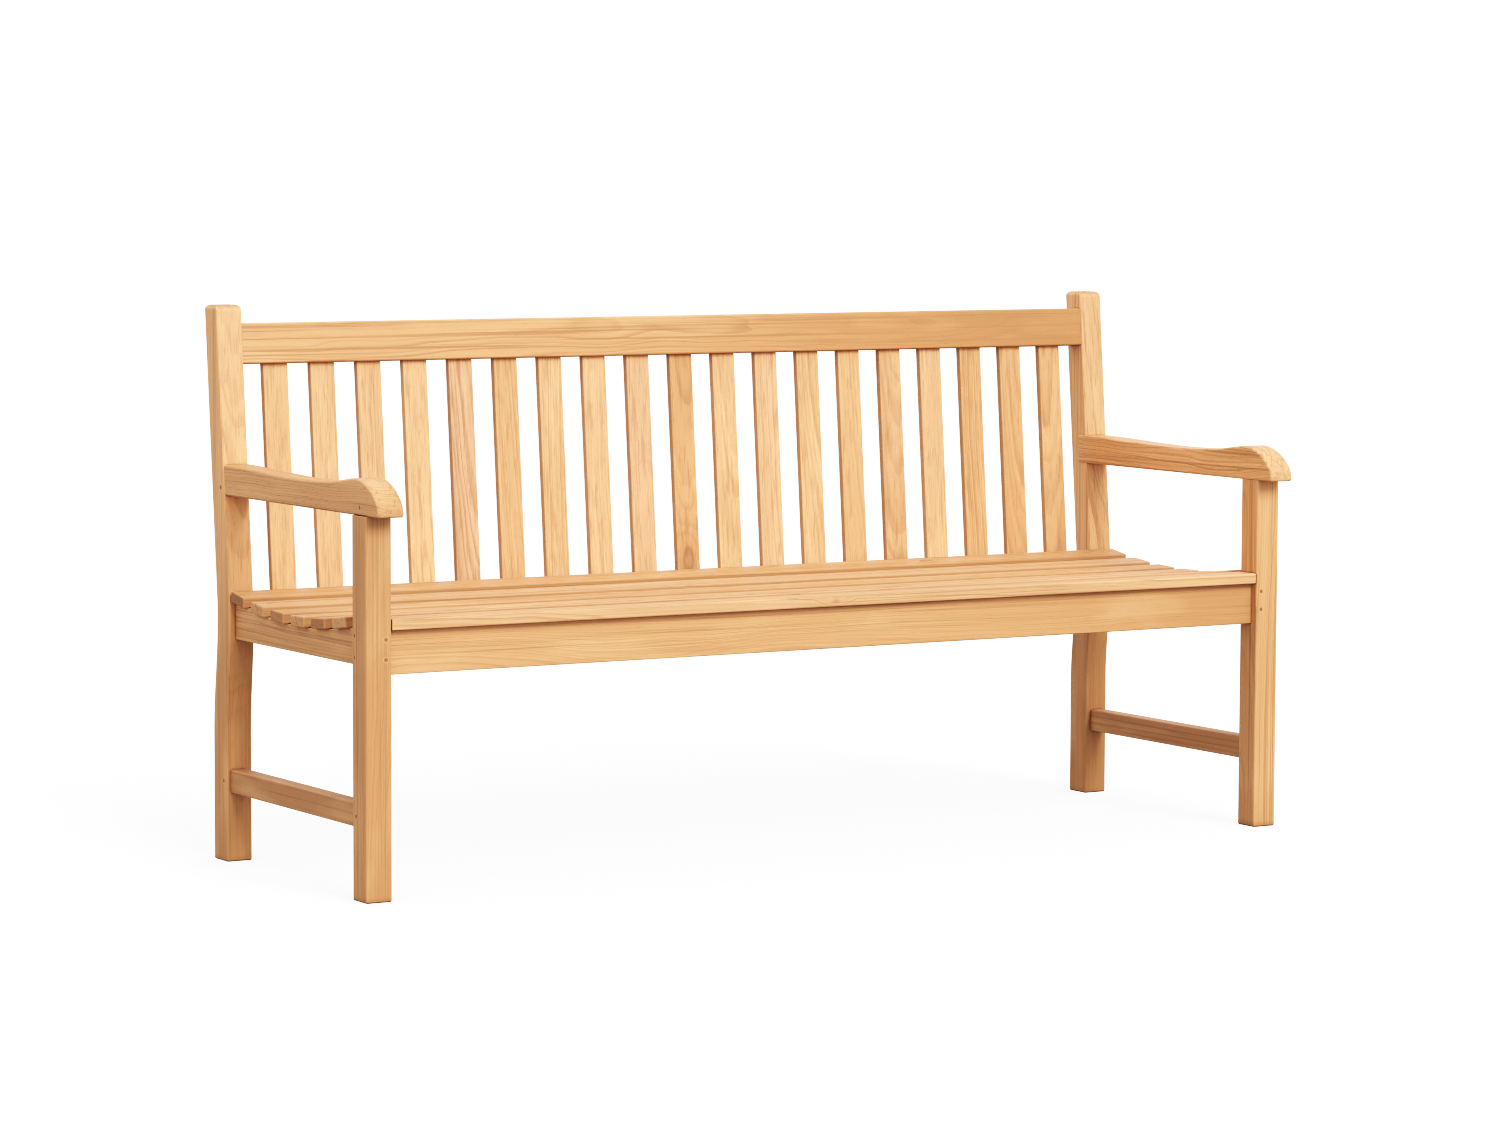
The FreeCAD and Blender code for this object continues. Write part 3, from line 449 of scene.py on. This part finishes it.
PEGS = {"apron_pegs": "Y", "side_rail_pegs": "X", "stretcher_pegs": "X", "arm_pegs": "X",
        "top_rail_pegs": "Y", "rear_seat_rail_pegs": "Y", "seat_plugs": "Z"}
for number, (pegs, grain) in enumerate(PEGS.items()):
    shade = 0.6 if pegs == "seat_plugs" else 1.2
    finish_in(pegs, teak(pegs.replace("_", " "), grain, beside(pegs),
                         seed=81.0 + number * 1.9, tone=shade, figure=0.5,
                         soak=shade * 0.7, ring=0.002))

# The screws are plain brass, a little scuffed by the driver.
DULL_BRASS = (0.62, 0.43, 0.16, 1)
BRIGHT_BRASS = (0.80, 0.60, 0.28, 1)
brass = bpy.data.materials.new("brass")
brass.use_nodes = True
metal = brass.node_tree.nodes["Principled BSDF"]
metal.inputs["Metallic"].default_value = 1.0
scuffs = noise(brass.node_tree, add(brass.node_tree, "TexCoord").outputs["Object"],
               seed=3.0, waves=(900, 900, 900), detail=3.0, rough=0.6)
brass_paint = add(brass.node_tree, "Mix", {"data_type": "RGBA"}, i0=scuffs,
                  i6=DULL_BRASS, i7=BRIGHT_BRASS).outputs[2]
brass.node_tree.links.new(brass_paint, metal.inputs["Base Color"])
brass.node_tree.links.new(steps(brass.node_tree, scuffs, 0.2, 0.8, 0.28, 0.45),
                          metal.inputs["Roughness"])
finish_in("seat_screws", brass)


# ---- Floor --------------------------------------------------------------
# A plain pale floor, wide enough to reach past the view on every side. It
# looks almost white, but throws back only part of the light onto the wood.

FLOOR_SIZE = 80
THROWN_BACK = (0.22, 0.22, 0.22, 1)     # what it gives the wood
SHADED = (0.25, 0.25, 0.25, 1)          # what takes the shadows in view
GLOW = 1.30                             # and what lifts it to white

bpy.ops.mesh.primitive_plane_add(size=FLOOR_SIZE)
floor = bpy.context.object
floor.name = "floor"
floor_paint = bpy.data.materials.new("floor paint")
floor_paint.use_nodes = True
ground = floor_paint.node_tree
ground.nodes.remove(ground.nodes["Principled BSDF"])
thrown_back = add(ground, "BsdfDiffuse", Color=THROWN_BACK).outputs[0]
shaded = add(ground, "BsdfDiffuse", Color=SHADED).outputs[0]
glow = add(ground, "Emission", Color=(1, 1, 1, 1), Strength=GLOW).outputs[0]
shown = add(ground, "AddShader", i0=shaded, i1=glow).outputs[0]
seen = add(ground, "LightPath").outputs["Is Camera Ray"]
both = add(ground, "MixShader", i0=seen, i1=thrown_back, i2=shown).outputs[0]
ground.links.new(both, ground.nodes["Material Output"].inputs["Surface"])
floor.data.materials.append(floor_paint)


# ---- Light and camera ---------------------------------------------------
# White soft studio light all round, with one broad soft lamp high in front.
# The camera stands to the front left, a little above the top of the back.

WALL_LIGHT = 1.65           # what the white walls give the bench
WALL_SHOWN = 2.2            # and how bright they look behind it
LAMP_LIGHT = 3.8
LAMP_SPREAD = math.radians(28)
LAMP_AIM = Vector((-0.05, 0.82, -0.56))
sky = bpy.data.worlds.new("studio")
bpy.context.scene.world = sky
sky.use_nodes = True
wall = sky.node_tree.nodes["Background"]
wall.inputs["Color"].default_value = (1, 1, 1, 1)
wall.inputs["Strength"].default_value = WALL_LIGHT
bright = add(sky.node_tree, "Background", Color=(1, 1, 1, 1), Strength=WALL_SHOWN).outputs[0]
seen = add(sky.node_tree, "LightPath").outputs["Is Camera Ray"]
both = add(sky.node_tree, "MixShader", i0=seen, i1=wall.outputs[0], i2=bright).outputs[0]
sky.node_tree.links.new(both, sky.node_tree.nodes["World Output"].inputs["Surface"])

lamp = bpy.data.lights.new("soft lamp", "SUN")
lamp.energy = LAMP_LIGHT
lamp.angle = LAMP_SPREAD
lamp_stand = bpy.data.objects.new("soft lamp", lamp)
lamp_stand.rotation_euler = LAMP_AIM.to_track_quat("-Z", "Y").to_euler()
bpy.context.scene.collection.objects.link(lamp_stand)

lens = bpy.data.cameras.new("camera")
lens.lens = 116.023
camera = bpy.data.objects.new("camera", lens)
camera.location = (-4.3057, -7.0944, 1.2073)
yaw, pitch, roll = (math.radians(a) for a in (-31.118, -4.970, 0.218))
turn = (Matrix.Rotation(yaw, 3, "Z") @ Matrix.Rotation(math.pi / 2 + pitch, 3, "X")
        @ Matrix.Rotation(roll, 3, "Z"))
camera.rotation_euler = turn.to_euler()
bpy.context.scene.collection.objects.link(camera)
bpy.context.scene.camera = camera

# The picture is toned as film is: white only from FULL_WHITE, soft in the
# lights and a little deeper in the shades. Each step is a light and the tone
# it is shown at. A narrow filter keeps the grain crisp.
FULL_WHITE = 1.8
TONE_STEPS = ((0.028, 0.035), (0.092, 0.149), (0.167, 0.300), (0.356, 0.584),
              (0.556, 0.780), (0.739, 0.888))
bpy.context.scene.cycles.filter_width = 1.0
tones = bpy.context.scene.view_settings
tones.view_transform = "Standard"
tones.use_curve_mapping = True
tones.curve_mapping.white_level = (FULL_WHITE,) * 3
curve = tones.curve_mapping.curves[3]
for light, tone in TONE_STEPS:
    curve.points.new(light, tone)
tones.curve_mapping.update()
